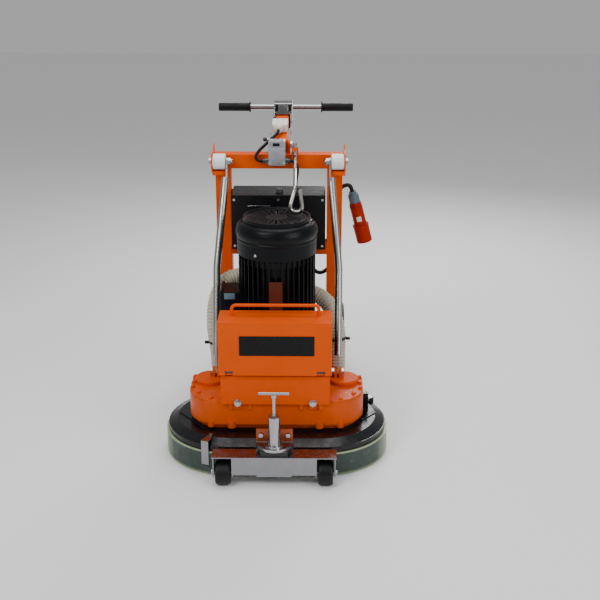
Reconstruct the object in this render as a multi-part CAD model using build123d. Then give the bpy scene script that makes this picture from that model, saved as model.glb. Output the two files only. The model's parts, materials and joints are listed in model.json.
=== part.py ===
from build123d import *
import os
from math import atan2, degrees, pi, radians, tan

# Floor grinder with three gear-driven grinding heads, millimetres.
# X is across the machine, -Y is its working front, Z is up and z = 0 is the floor.
# Everything below is laid out from the centre of the grinding deck; every part is
# moved back by ORIGIN_Y when written, so the origin lies under the middle of the machine.
ORIGIN_Y = 235.5

# deck: rubber skirt, dust pan and gearbox
SKIRT_ARC_X = 164.0       # centres of the two half-round ends of the deck
SKIRT_R = 250.0
SKIRT_WALL = 8.0
SKIRT_BOTTOM = 3.0
SKIRT_TOP = 90.0
PAN_R = SKIRT_R - SKIRT_WALL
PAN_WALL = 6.0
PAN_RIM_TOP = 112.0
RIB_START = (372, 10, 129.0)
RIB_END = (268, -114, 130.0)
DECK_R = 205.0
DECK_TOP = 130.0
CASE_BOTTOM = 150.0
CASE_TOP = 245.0
CASE_X = 322.0
CASE_FRONT = -137.0
CASE_BACK = 117.0
CASE_WALL = 10.0
HEAD_X = 250.0
HEAD_Y = 45.0
CENTRE_HEAD_Y = -39.9
HEAD_LOBE_R = 72.0

# gear train
MODULE = 4.0
PINION_TEETH = 16
IDLER_TEETH = 44
SIDE_TEETH = 28
CENTRE_TEETH = 32
GEAR_Z = 185.0
GEAR_THICK = 30.0
IDLER_LEFT = (-107.8, 67.3)
IDLER_RIGHT = (119.0, 104.7)
IDLER_PIN_R = 15.0
SPINDLE_R = 20.0
BEARING_R = 40.0
FIT = 0.05                # radial play of every running fit

# grinding heads
DISC_R = 127.5
SEGMENT_TOP = 10.0
DISC_TOP = 22.0

# motor
MOTOR_Y = 120.0
MOTOR_R = 142.0
MOTOR_CORE_R = 124.0
FIN_BOTTOM = 300.0
COWL_BOTTOM = 735.0
COWL_TOP = 868.0
COWL_R = 150.0
COWL_LIP_R = 123.0
SHAFT_R = 19.0
STATOR_BORE_R = 70.0

# weight box and its bracket
BOX_X = 202.0
BOX_FRONT = -165.0
BOX_BACK = -35.0
BOX_BOTTOM = 356.0
BOX_TOP = 556.0
BRACKET_X = 196.0
BRACKET_FRONT = -150.0
BRACKET_TOP = 347.0
HANDLE_TOP = 602.0

# rear frame
FRAME_Y = 430.0
TUBE = 59.0
UPRIGHT_X = 216.0
BEAM_X = 250.0
BEAM_TOP = 1032.0
BEAM_BOTTOM = BEAM_TOP - 54.0
CROSS_BOTTOM = 270.0
CROSS_TOP = 330.0
RAIL_X = 165.0
AXLE_Y = 645.0
AXLE_Z = 170.0
AXLE_R = 15.0
WHEEL_X = 222.0
WHEEL_WIDTH = 88.0
ROLLER_Y = 365.0
ROLLER_Z = 1013.0
ROLLER_R = 30.0
BOLT_R = 8.0

# struts
STRUT_R = 14.0
STRUT_FOOT = (229.0, 50.0, 280.0)
STRUT_BEND = (231.0, 206.0, 640.0)
STRUT_HEAD = (197.0, ROLLER_Y, ROLLER_Z)

# mast and handlebar
MAST_X = 8.0
MAST_Y = 445.0
MAST_Z = 1062.0
MAST_TILT = 14.5          # degrees above level at rest
MAST_OUTER = 50.0
MAST_INNER = 40.0
MAST_LENGTH = 236.0
BAR_ALONG = 351.0         # from the pivot to the handlebar, along the mast
BAR_SHIFT = 10.0          # the bar sits a little to the right in its cap
BAR_LENGTH = 555.0
BAR_R = 12.0
GRIP_R = 16.5
GRIP_LENGTH = 132.0
KNOB_ALONG = 45.0
OPERATOR_BOX_END = 126.0

# cabinet
CABINET_X = 180.0
CABINET_FRONT = 300.0
CABINET_BACK = 455.0
CABINET_BOTTOM = 683.0
CABINET_TOP = 897.0
HINGE_X = -182.0
HINGE_Y = 465.0

# front dolly
DOLLY_Y = -300.0
DOLLY_WHEEL_X = 181.0
DOLLY_WHEEL_R = 44.0
JACK_Y = -285.0
JACK_R = 21.0
POST_R = 14.0

# hoses, cables and lead: outer radius of each, and the points of its route
HOSE_R = 32.0
HOSE_RIGHT = [(228, 188, 180), (228, 188, 290), (231, 200, 390), (203, 238, 480),
              (137, 280.1, 518), (82.7, 299.9, 518)]
HOSE_LEFT = [(-228, 188, 180), (-228, 188, 290), (-247, 194, 405), (-240, 216, 510),
             (-203, 254, 577), (-142, 278.3, 585), (-82.7, 299.9, 585)]
OPERATOR_CABLE_R = 6.0
OPERATOR_CABLE = [(-3, 465.6, 1113.8), (-3, 446.3, 1108.8), (-20, 424, 1096), (-48, 402, 1074),
                  (-76, 386, 1050), (-89, 378, 1030), (-82, 375, 1013), (-58, 375, 1013)]
LINK_CABLE_R = 6.0
LINK_CABLE = [(44, 375, 1013), (60, 375, 1013), (72, 368, 998), (73, 358, 972), (67, 350, 946),
              (67, 350, 917)]
LEAD_R = 8.0
LEAD = [(120, 400, 665), (120, 400, 606), (136, 430, 555), (166, 466, 531), (200, 482, 551),
        (217, 480, 610), (221, 478, 680), (217, 477, 755), (217, 477, 812), (224, 478, 856),
        (242, 479, 886), (268, 479, 897), (281.5, 479, 890), (287, 480, 869)]
PLUG_TOP = (287.0, 480.0, 869.0)
PLUG_END = (341.0, 490.0, 662.0)


# ---------------------------------------------------------------- helpers

def block(x0, x1, y0, y1, z0, z1):
    """A box between two corners."""
    return Pos((x0 + x1) / 2, (y0 + y1) / 2, (z0 + z1) / 2) * Box(x1 - x0, y1 - y0, z1 - z0)


def drum(radius, z0, z1, x=0.0, y=0.0):
    """An upright cylinder."""
    return Pos(x, y, (z0 + z1) / 2) * Cylinder(radius, z1 - z0)


def ring(outer, inner, z0, z1, x=0.0, y=0.0):
    """An upright tube."""
    return drum(outer, z0, z1, x, y) - drum(inner, z0 - 1, z1 + 1, x, y)


def rod(radius, start, end):
    """A round bar between two points."""
    along = Vector(*end) - Vector(*start)
    return extrude(Plane(origin=start, z_dir=along) * Circle(radius), amount=along.length)


def across(radius, x0, x1, y, z):
    """A round bar along X."""
    return rod(radius, (x0, y, z), (x1, y, z))


def hex_across(flats, x0, x1, y, z):
    """A hexagonal head or nut along X."""
    face = Plane(origin=(x0, y, z), z_dir=(1, 0, 0)) * RegularPolygon(flats / 2, 6, major_radius=False)
    return extrude(face, amount=x1 - x0)


def prism(points, start, end):
    """A plate whose outline is drawn in Y and Z, from one X to another."""
    face = Plane.YZ * make_face(Polyline(*points, close=True).edges())
    return Pos(start, 0, 0) * extrude(face, amount=end - start)


def mirror_x(shape):
    return mirror(shape, Plane.YZ)


def both_sides(shape):
    """The shape and its mirror image across the machine's centre plane."""
    return [shape, mirror_x(shape)]


def fuse(shapes):
    """One body from several that touch or overlap."""
    whole = shapes[0]
    for shape in shapes[1:]:
        whole = whole + shape
    return whole


def save(name, *shapes):
    """Write one sub-part; several shapes stay separate solids in one file."""
    solids = [solid for shape in shapes for solid in shape.solids()]
    moved = [solid.moved(Location((0, -ORIGIN_Y, 0))) for solid in solids]
    export_step(moved[0] if len(moved) == 1 else Compound(children=moved), f"parts/{name}.step")


def tube(points, radius, name):
    """A round tube along straight runs joined by arcs as large as the runs allow."""
    spots = [Vector(*point) for point in points]
    radii = []
    for before, here, after in zip(spots, spots[1:], spots[2:]):
        turn = radians((here - before).get_angle(after - here))
        shorter = min((here - before).length, (after - here).length)
        radii.append(0.45 * shorter / tan(turn / 2))
    print(name, "arc radii", [round(value) for value in radii])
    path = FilletPolyline(*points, radius=radii)
    first = spots[1] - spots[0]
    solid = sweep(Plane(origin=points[0], z_dir=first) * Circle(radius), path=path)
    print(name, "length", round(path.length), "volume ratio",
          round(solid.volume / (pi * radius ** 2 * path.length), 3))
    return solid


# ---------------------------------------------------------------- deck and dust pan

def stadium(radius, z):
    return Pos(0, 0, z) * SlotCenterToCenter(2 * SKIRT_ARC_X, 2 * radius)


def frustum(low_r, low_z, high_r, high_z):
    return loft([stadium(low_r, low_z), stadium(high_r, high_z)])


def heads():
    """Name and centre of the three grinding heads."""
    return [("left", -HEAD_X, HEAD_Y), ("centre", 0.0, CENTRE_HEAD_Y), ("right", HEAD_X, HEAD_Y)]


def dust_skirt():
    outer = extrude(stadium(SKIRT_R, SKIRT_BOTTOM), SKIRT_TOP - SKIRT_BOTTOM)
    return outer - extrude(stadium(PAN_R, SKIRT_BOTTOM - 1), SKIRT_TOP)


def pan_rib(start, end):
    """A low stiffener laid along the sloping top of the pan from one point to another."""
    along = Vector(*end) - Vector(*start)
    return extrude(Plane(origin=start, x_dir=(0, 0, 1), z_dir=along) * Rectangle(9, 5), amount=along.length)


def dust_pan():
    wall = extrude(stadium(PAN_R, 60), PAN_RIM_TOP - 60)
    cover = frustum(PAN_R - 3, PAN_RIM_TOP, DECK_R, DECK_TOP)
    inside = extrude(stadium(PAN_R - PAN_WALL, 59), PAN_RIM_TOP - 64)
    hollow = frustum(PAN_R - PAN_WALL, PAN_RIM_TOP - 5, DECK_R - PAN_WALL, DECK_TOP - PAN_WALL)
    pan = wall + cover - inside - hollow
    for side in (-1, 1):
        pan += drum(30, 116, 180, side * HOSE_RIGHT[0][0], HOSE_RIGHT[0][1])
        pan -= drum(26, 100, 181, side * HOSE_RIGHT[0][0], HOSE_RIGHT[0][1])
        pan += pan_rib((side * RIB_START[0], *RIB_START[1:]), (side * RIB_END[0], *RIB_END[1:]))
    for _, x, y in heads():
        pan -= drum(56, 100, 140, x, y)
    pan += block(323, 345, 38, 62, 126, 195)
    return pan


def skirt_clip(angle, arc_x):
    """A stainless angle that holds the skirt to the pan."""
    upright = block(SKIRT_R + 0.2, SKIRT_R + 3.2, -14, 14, 40, DECK_TOP + 3)
    tongue = Polygon((SKIRT_R + 3.2, -14), (SKIRT_R + 3.2, 14), (PAN_R - 6, 14), (DECK_R, 7),
                     (DECK_R - 12, 7), (DECK_R - 12, -7), (DECK_R, -7), (PAN_R - 6, -14), align=None)
    clip = upright + Pos(0, 0, DECK_TOP) * extrude(tongue, 3)
    clip += Pos(DECK_R - 5, 0, DECK_TOP + 3) * extrude(RegularPolygon(6.5, 6), 5)
    return Pos(arc_x, 0, 0) * Rot(0, 0, angle) * clip


# ---------------------------------------------------------------- gearbox

def case_outline(shrink):
    """The lobed outline of the gearbox, drawn in by the given distance."""
    middle = (CASE_FRONT + CASE_BACK) / 2
    width = 2 * (CASE_X - shrink)
    height = CASE_BACK - CASE_FRONT - 2 * shrink
    outline = Pos(0, middle) * RectangleRounded(width, height, 120 - shrink)
    for x in (-HEAD_X, HEAD_X):
        outline += Pos(x, HEAD_Y) * Circle(HEAD_LOBE_R - shrink)
    for x, y in (IDLER_LEFT, IDLER_RIGHT):
        outline += Pos(x, y) * Circle(102 - shrink)
    return outline + Pos(0, MOTOR_Y) * Circle(MOTOR_R - 4 - shrink)


def rim_bolt_places():
    """Where the gearbox bolts stand round the case."""
    front = [(x, CASE_FRONT + 4) for x in (-160, -92, 92, 160)]
    corners = [(side * 285, -72) for side in (-1, 1)] + [(side * 236, -118) for side in (-1, 1)]
    ends = [(side * 311, y) for side in (-1, 1) for y in (-22, 22, 75)]
    return front + corners + ends


def low_lugs():
    """Place and radius of the four lugs that reach below the front edge of the casting."""
    return [(side * x, y, radius) for side in (-1, 1) for x, y, radius in ((160, CASE_FRONT + 4, 15),
                                                                         (236, -127, 12))]


def gearbox_base():
    base = Pos(0, 0, DECK_TOP) * extrude(case_outline(16), CASE_BOTTOM - DECK_TOP)
    base += Pos(0, 0, CASE_BOTTOM - 6) * extrude(case_outline(4), 6)
    for _, x, y in heads():
        base += drum(55, 72, 140, x, y)
        base -= drum(BEARING_R, 80, 151, x, y)
        base -= drum(30, 71, 81, x, y)
    for x, y, radius in low_lugs():
        base -= drum(radius, CASE_BOTTOM - 12, CASE_BOTTOM + 1, x, y)
    for x, y in (IDLER_LEFT, IDLER_RIGHT):
        base += drum(IDLER_PIN_R, CASE_BOTTOM - 2, CASE_TOP - 12, x, y)
        base += drum(26, CASE_BOTTOM - 2, GEAR_Z - 1, x, y)
    return base


def gearbox_casting():
    case = Pos(0, 0, CASE_BOTTOM) * extrude(case_outline(0), CASE_TOP - 8 - CASE_BOTTOM)
    for step in (2, 5):
        case += Pos(0, 0, CASE_TOP - 12) * extrude(case_outline(step), 14 - step)
    for x, y in rim_bolt_places():
        case += drum(11, CASE_TOP - 32, CASE_TOP, x, y)
    case -= Pos(0, 0, CASE_BOTTOM - 1) * extrude(case_outline(CASE_WALL), CASE_TOP - 12 - CASE_BOTTOM + 1)
    for x, y, radius in low_lugs():
        case += drum(radius, CASE_BOTTOM - 12, CASE_BOTTOM + 14, x, y)
    for x in (-135.5, 135.5):
        case += block(x - 15, x + 15, BRACKET_FRONT + 6, CASE_FRONT + 12, 215, CASE_TOP + 14)
        case -= rod(BOLT_R, (x, -160, 243), (x, -132, 243))
    for _, x, y in heads():
        case += ring(50, BEARING_R, 220, CASE_TOP - 10, x, y)
        case -= drum(BEARING_R, 219, CASE_TOP + 1, x, y)
    case += ring(60, BEARING_R, 222, CASE_TOP - 10, 0, MOTOR_Y)
    case -= drum(BEARING_R, 221, CASE_TOP + 1, 0, MOTOR_Y)
    return case


def casting_screws():
    """Hexagon screws round the gearbox rim and on the motor flange."""
    head = extrude(RegularPolygon(7.5, 6), 8)
    screws = [Pos(x, y, CASE_TOP) * head for x, y in rim_bolt_places()]
    for place in PolarLocations(130, 4, 45):
        screws.append(Pos(0, MOTOR_Y, CASE_TOP + 17) * place * head)
    return screws


def bearing_cap(x, y):
    cap = drum(58, CASE_TOP, CASE_TOP + 17, x, y)
    cap = fillet(cap.edges().group_by(Axis.Z)[-1], 8)
    return cap


def bearing_caps():
    """Three caps; the outer two carry the forks that the struts bolt to."""
    caps = [bearing_cap(0, CENTRE_HEAD_Y)]
    foot_x, foot_y, foot_z = STRUT_FOOT
    for side in (-1, 1):
        cap = bearing_cap(side * HEAD_X, HEAD_Y)
        for low, high in ((foot_x - 14, foot_x - 3.4), (foot_x + 3.4, foot_x + 14)):
            ends = sorted((side * low, side * high))
            cheek = block(ends[0], ends[1], foot_y - 20, foot_y + 20, CASE_TOP + 2, foot_z + 16)
            cap += fillet(cheek.edges().filter_by(Axis.X).group_by(Axis.Z)[-1], 15)
        caps.append(cap - across(BOLT_R, side * 200, side * 260, foot_y, foot_z))
    return caps


def bearing(x, y, z0, z1, bore):
    return ring(BEARING_R, bore + FIT, z0, z1, x, y)


def shaft_bearings():
    rings = []
    for _, x, y in heads():
        rings.append(bearing(x, y, 80, 98, SPINDLE_R))
        rings.append(bearing(x, y, 222, 240, SPINDLE_R))
    rings.append(bearing(0, MOTOR_Y, 224, 242, SHAFT_R))
    rings.append(bearing(0, MOTOR_Y, 690, 712, SHAFT_R))
    return rings


# ---------------------------------------------------------------- gears

def gear(teeth, phase, bore):
    """A spur gear with straight-flanked teeth; phase is the direction of one tooth, in degrees."""
    pitch_r = MODULE * teeth / 2
    root_r = pitch_r - 1.2 * MODULE
    tip_r = pitch_r + 0.8 * MODULE
    tooth = Polyline((root_r - 2, -3.3), (tip_r, -1.15), (tip_r, 1.15), (root_r - 2, 3.3), close=True)
    outline = Circle(root_r)
    outline += [Rot(0, 0, phase + 360 / teeth * i) * make_face(tooth.edges()) for i in range(teeth)]
    if bore:
        outline -= Circle(bore)
    return extrude(outline, GEAR_THICK)


def meshing_phase(centre_a, teeth_a, phase_a, centre_b, teeth_b):
    """The phase that lets gear b run with gear a."""
    angle = degrees(atan2(centre_b[1] - centre_a[1], centre_b[0] - centre_a[0]))
    offset = teeth_a / teeth_b * (phase_a - angle) + 180 / teeth_b
    return angle + 180 - offset


def gear_phases():
    motor = (0.0, MOTOR_Y)
    phases = {"pinion": 0.0}
    phases["idler_left"] = meshing_phase(motor, PINION_TEETH, 0.0, IDLER_LEFT, IDLER_TEETH)
    phases["idler_right"] = meshing_phase(motor, PINION_TEETH, 0.0, IDLER_RIGHT, IDLER_TEETH)
    phases["left"] = meshing_phase(IDLER_LEFT, IDLER_TEETH, phases["idler_left"],
                                   (-HEAD_X, HEAD_Y), SIDE_TEETH)
    phases["centre"] = meshing_phase(IDLER_LEFT, IDLER_TEETH, phases["idler_left"],
                                     (0.0, CENTRE_HEAD_Y), CENTRE_TEETH)
    phases["right"] = meshing_phase(IDLER_RIGHT, IDLER_TEETH, phases["idler_right"],
                                    (HEAD_X, HEAD_Y), SIDE_TEETH)
    return phases


def idler_gear(place, phase):
    wheel = Pos(*place, GEAR_Z) * gear(IDLER_TEETH, phase, IDLER_PIN_R + FIT)
    hub = ring(24, IDLER_PIN_R + FIT, GEAR_Z + GEAR_THICK - 1, GEAR_Z + GEAR_THICK + 8, *place)
    return wheel + hub


def head_spindle(name, x, y, phase):
    """Spindle with its gear, flange and the three drive lugs that reach the disc."""
    teeth = CENTRE_TEETH if name == "centre" else SIDE_TEETH
    spindle = drum(SPINDLE_R, 50, 240, x, y) + drum(70, 50, 60, x, y)
    spindle += Pos(x, y, GEAR_Z) * gear(teeth, phase, 0)
    for place in PolarLocations(50, 3):
        lug = Pos(x, y, 0) * place * Pos(0, 0, (DISC_TOP + 51) / 2) * Cylinder(13, 51 - DISC_TOP)
        spindle += lug
    return spindle


def grinding_disc(x, y):
    """Steel carrier disc with its diamond segments, cut away in the middle."""
    disc = ring(DISC_R, 45, SEGMENT_TOP, DISC_TOP, x, y)
    spokes = drum(72, DISC_TOP - 7, DISC_TOP, x, y) - drum(18, 0, 30, x, y)
    disc += spokes
    for place in PolarLocations(108, 12):
        segment = place * Rot(0, 0, 24) * Pos(0, 0, SEGMENT_TOP / 2 + 0.5) * Box(28, 11, SEGMENT_TOP + 1)
        disc += Pos(x, y, 0) * segment
    for place in PolarLocations(82, 6, 15):
        disc -= Pos(x, y, 0) * place * Pos(0, 0, 15) * Cylinder(9, 30)
    return disc


# ---------------------------------------------------------------- motor

def motor_housing():
    """Finned housing with its flange, the stator core pressed in."""
    fins = Circle(MOTOR_CORE_R)
    fins += [Rot(0, 0, 9 * i) * Pos(MOTOR_CORE_R + 7, 0) * Rectangle(22, 4) for i in range(40)]
    housing = Pos(0, MOTOR_Y, FIN_BOTTOM) * extrude(fins, COWL_BOTTOM - 8 - FIN_BOTTOM)
    housing += drum(MOTOR_CORE_R + 10, COWL_BOTTOM - 30, COWL_BOTTOM, 0, MOTOR_Y)
    housing += drum(MOTOR_R, CASE_TOP, CASE_TOP + 17, 0, MOTOR_Y)
    housing += drum(118, CASE_TOP + 16, FIN_BOTTOM + 1, 0, MOTOR_Y)
    housing -= drum(STATOR_BORE_R, 300, 690, 0, MOTOR_Y)
    housing -= drum(SHAFT_R + 8, CASE_TOP - 1, 301, 0, MOTOR_Y)
    housing -= drum(BEARING_R, 689, COWL_BOTTOM + 1, 0, MOTOR_Y)
    housing -= drum(59, CASE_TOP - 1, CASE_TOP + 18, 0, CENTRE_HEAD_Y)
    housing -= block(-180, -126, MOTOR_Y - 60, MOTOR_Y + 60, 486, 590)
    return housing


def cowl_profile():
    """Half section of the fan cowl: skirt, bead, rounded shoulder and lip."""
    outer = Polyline((COWL_R - 4, COWL_BOTTOM), (COWL_R - 4, 785), (COWL_R - 2, 788), (COWL_R - 2, 792),
                     (COWL_R - 4, 795))
    dome = ThreePointArc((COWL_R - 4, 795), (COWL_R + 0.5, 814), (COWL_R - 3, 832))
    shoulder = ThreePointArc((COWL_R - 3, 832), (COWL_R - 10, 845), (COWL_LIP_R, 853))
    top = Polyline((COWL_LIP_R, 853), (COWL_LIP_R, COWL_TOP), (COWL_LIP_R - 6, COWL_TOP),
                   (COWL_LIP_R - 10, COWL_TOP - 6), (0, COWL_TOP - 6), (0, COWL_TOP - 10),
                   (COWL_LIP_R - 6, COWL_TOP - 10), (COWL_LIP_R - 4, 850))
    inner_shoulder = ThreePointArc((COWL_LIP_R - 4, 850), (COWL_R - 13, 842), (COWL_R - 6, 830))
    inner_dome = ThreePointArc((COWL_R - 6, 830), (COWL_R - 3, 814), (COWL_R - 7, 795))
    close = Polyline((COWL_R - 7, 795), (COWL_R - 7, COWL_BOTTOM), (COWL_R - 4, COWL_BOTTOM))
    outlines = (outer, dome, shoulder, top, inner_shoulder, inner_dome, close)
    edges = [edge for piece in outlines for edge in piece.edges()]
    return Plane.XZ * make_face(edges)


def motor_cowl():
    cowl = Pos(0, MOTOR_Y, 0) * revolve(cowl_profile(), Axis.Z)
    for place in PolarLocations(72, 24):
        cowl -= Pos(0, MOTOR_Y, COWL_TOP - 8) * place * Box(62, 6, 20)
    cowl += Pos(0, MOTOR_Y, 0) * ring(COWL_R - 6, MOTOR_CORE_R + 10, COWL_BOTTOM, COWL_BOTTOM + 4)
    return cowl


def terminal_box():
    """Cable box on the motor's left side, with its lid and a gland below."""
    box = block(-200, -126.5, 62, 178, 487, 589)
    box += block(-212, -200, 60, 180, 480, 596)
    box = chamfer(box.faces().sort_by(Axis.X)[0].edges(), 5)
    box -= block(-196, -130, 66, 174, 492, 584)
    box += drum(13, 468, 488, -170, 120)
    return box


def rotor_shaft():
    """Rotor core, shaft and the pinion cut on its lower end."""
    shaft = drum(SHAFT_R, GEAR_Z + 1, 770, 0, MOTOR_Y)
    core = drum(STATOR_BORE_R - 0.8, 330, 680, 0, MOTOR_Y)
    teeth = Pos(0, MOTOR_Y, GEAR_Z) * gear(PINION_TEETH, gear_phases()["pinion"], 0)
    return shaft + core + teeth


def cooling_fan():
    """Radial fan keyed to the shaft under the cowl."""
    fan = ring(30, SHAFT_R, 742, 770, 0, MOTOR_Y) + ring(120, 28, 742, 746, 0, MOTOR_Y)
    for place in PolarLocations(74, 9):
        fan += Pos(0, MOTOR_Y, 763) * place * Pos(-1, 0, 0) * Box(90, 4, 38)
    return fan


# ---------------------------------------------------------------- weight box and bracket

def front_bracket():
    """Folded bracket on the gearbox, with the bar that stays the motor and two dowels."""
    bracket = block(-BRACKET_X, BRACKET_X, BRACKET_FRONT, BRACKET_FRONT + 6, 237, BRACKET_TOP)
    bracket += block(-BRACKET_X, BRACKET_X, BRACKET_FRONT, -23, BRACKET_TOP - 6, BRACKET_TOP)
    for side in (-1, 1):
        ends = sorted((side * BRACKET_X, side * (BRACKET_X - 6)))
        bracket += block(ends[0], ends[1], BRACKET_FRONT, -70, CASE_TOP, BRACKET_TOP)
        bracket += drum(8, BRACKET_TOP - 2, BRACKET_TOP + 32, side * 120, -100)
    bracket += block(-24, 24, -31, -23, BRACKET_TOP - 6, 660)
    for x in (-135.5, 135.5):
        bracket -= rod(BOLT_R, (x, -160, 240 + 3), (x, -120, 240 + 3))
    return bracket


def weight_box():
    """Folded sheet box with a tubular handle, standing on two foot bars."""
    box = block(-BOX_X, BOX_X, BOX_FRONT, BOX_BACK, BOX_BOTTOM, BOX_TOP)
    box = fillet(box.edges().filter_by(Axis.Z), 4)
    box -= block(-BOX_X + 5, BOX_X - 5, BOX_FRONT + 5, BOX_BACK - 5, BOX_BOTTOM + 5, BOX_TOP - 5)
    box -= block(-100, 100, BOX_FRONT + 25, BOX_BACK - 25, BOX_BOTTOM - 1, BOX_BOTTOM + 6)
    for side in (-1, 1):
        ends = sorted((side * 150, side * 178))
        box -= block(ends[0], ends[1], BOX_FRONT - 1, BOX_FRONT + 6, BOX_BOTTOM - 1, BOX_BOTTOM + 17)
        feet = sorted((side * 104, side * 136))
        box += block(feet[0], feet[1], -146, -42, BRACKET_TOP, BOX_BOTTOM + 1)
        box -= drum(8 + FIT, BRACKET_TOP - 1, BOX_BOTTOM + 10, side * 120, -100)
    y = -90
    route = FilletPolyline((-155, y, BOX_TOP - 1), (-155, y, HANDLE_TOP - 6),
                           (155, y, HANDLE_TOP - 6), (155, y, BOX_TOP - 1), radius=16)
    box += sweep(Plane(origin=(-155, y, BOX_TOP - 1), z_dir=(0, 0, 1)) * Circle(6), path=route)
    return box


def ballast_plates():
    """Four cast plates stacked in the box."""
    plates = []
    for i in range(4):
        low = BOX_BOTTOM + 5 + 42 * i
        plate = block(-194, 194, BOX_FRONT + 8, BOX_BACK - 8, low, low + 42)
        for x in (-120, 120):
            plate -= drum(11, low - 1, low + 43, x, -100)
        plates.append(plate)
    return plates


def blank_plate():
    plate = block(-126, 140, BOX_FRONT - 1.5, BOX_FRONT, 433, 507)
    return fillet(plate.edges().filter_by(Axis.Y), 3)


# ---------------------------------------------------------------- rear frame

def upright_and_bracket(side):
    """One upright, the leaf plate at the end of the beam and the small box under the roller."""
    x0, x1 = sorted((side * (UPRIGHT_X - TUBE / 2), side * (UPRIGHT_X + TUBE / 2)))
    shapes = [block(x0, x1, FRAME_Y - TUBE / 2, FRAME_Y + TUBE / 2, CROSS_BOTTOM, BEAM_BOTTOM + 1)]
    leaf = prism([(340, 1000), (352, 1042), (420, 1048), (452, 1066), (FRAME_Y + TUBE / 2, 1040),
                  (FRAME_Y + TUBE / 2, 960), (400, 950), (352, 978)], BEAM_X, BEAM_X + 6)
    shapes.append(leaf if side > 0 else mirror_x(leaf))
    low, high = sorted((side * 202, side * (BEAM_X + 1)))
    shapes.append(block(low, high, 350, FRAME_Y - TUBE / 2 + 1, 962, 978))
    return shapes


def axle_arm(side):
    """Plate from the cross tube back to the axle."""
    outline = [(FRAME_Y + 20, 262), (FRAME_Y + 32, 330), (500, 330), (AXLE_Y + 30, AXLE_Z + 34),
               (AXLE_Y + 34, AXLE_Z - 6), (AXLE_Y + 10, AXLE_Z - 34), (AXLE_Y - 24, AXLE_Z - 22)]
    arm = prism(outline, 138, 152)
    return arm if side > 0 else mirror_x(arm)


def rear_frame():
    """Welded frame: rails on the gearbox, uprights, beam, shelf, axle and mast lugs."""
    half = TUBE / 2
    shapes = [block(-BEAM_X, BEAM_X, FRAME_Y - half, FRAME_Y + half, BEAM_BOTTOM, BEAM_TOP),
              block(-UPRIGHT_X, UPRIGHT_X, FRAME_Y - half, FRAME_Y + half, CROSS_BOTTOM, CROSS_TOP)]
    for side in (-1, 1):
        shapes += upright_and_bracket(side)
        low, high = sorted((side * (RAIL_X - 20), side * (RAIL_X + 20)))
        shapes.append(block(low, high, 90, FRAME_Y, CASE_TOP, CASE_TOP + 60))
        shapes.append(axle_arm(side))
        low, high = sorted((MAST_X + side * (MAST_OUTER / 2 + 0.4), MAST_X + side * (MAST_OUTER / 2 + 10)))
        lug = block(low, high, MAST_Y - 24, MAST_Y + 14, BEAM_TOP - 1, MAST_Z + 20)
        shapes.append(fillet(lug.edges().filter_by(Axis.X).group_by(Axis.Z)[-1], 12))
    shapes.append(block(-187, 187, 330, 450, CABINET_BOTTOM - 8, CABINET_BOTTOM))
    shapes.append(block(-187, 187, 330, 334, CABINET_BOTTOM - 28, CABINET_BOTTOM))
    shapes.append(across(AXLE_R, -272, 272, AXLE_Y, AXLE_Z))
    shapes.append(block(51, 75, 369, 402, 1052, 1064))
    shapes.append(block(51, 75, FRAME_Y - half, FRAME_Y - 4, BEAM_TOP - 1, 1064))
    frame = fuse(shapes)
    frame -= across(BOLT_R, -60, 60, MAST_Y, MAST_Z)
    frame -= across(BOLT_R, -262, 262, ROLLER_Y, ROLLER_Z)
    frame -= drum(7 + FIT, 1040, 1080, 63, 383)
    frame -= drum(18, CABINET_BOTTOM - 20, CABINET_BOTTOM + 1, 120, 400)
    return frame


def transport_roller(side):
    x0, x1 = sorted((side * 202, side * 249.6))
    roller = across(ROLLER_R, x0, x1, ROLLER_Y, ROLLER_Z)
    roller = chamfer(roller.edges(), 3)
    return roller - across(BOLT_R + FIT, x0 - 1, x1 + 1, ROLLER_Y, ROLLER_Z)


def rear_wheel(side):
    """Moulded hub and rubber tyre, two solids."""
    x0, x1 = sorted((side * (WHEEL_X - WHEEL_WIDTH / 2), side * (WHEEL_X + WHEEL_WIDTH / 2)))
    tyre = across(AXLE_Z, x0, x1, AXLE_Y, AXLE_Z)
    tyre = fillet(tyre.edges(), 22) - across(112, x0 - 1, x1 + 1, AXLE_Y, AXLE_Z)
    hub = across(112, x0 + 14, x1 - 14, AXLE_Y, AXLE_Z) + across(30, x0, x1, AXLE_Y, AXLE_Z)
    hub -= across(92, x0 + 13, x0 + 26, AXLE_Y, AXLE_Z) - across(30, x0, x0 + 30, AXLE_Y, AXLE_Z)
    hub -= across(92, x1 - 26, x1 - 13, AXLE_Y, AXLE_Z) - across(30, x1 - 30, x1, AXLE_Y, AXLE_Z)
    hub -= across(AXLE_R + FIT, x0 - 1, x1 + 1, AXLE_Y, AXLE_Z)
    return tyre, hub


def bolt_across(x0, x1, y, z, cap):
    """A bolt along X: a head beyond x1 and a nut beyond x0, domed if it is an acorn nut."""
    bolt = across(BOLT_R, x0, x1, y, z) + hex_across(24, x1, x1 + 9, y, z)
    bolt += hex_across(24, x0 - 12, x0, y, z)
    if cap:
        bolt += Pos(x0 - 12, y, z) * Sphere(9)
    return bolt


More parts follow.
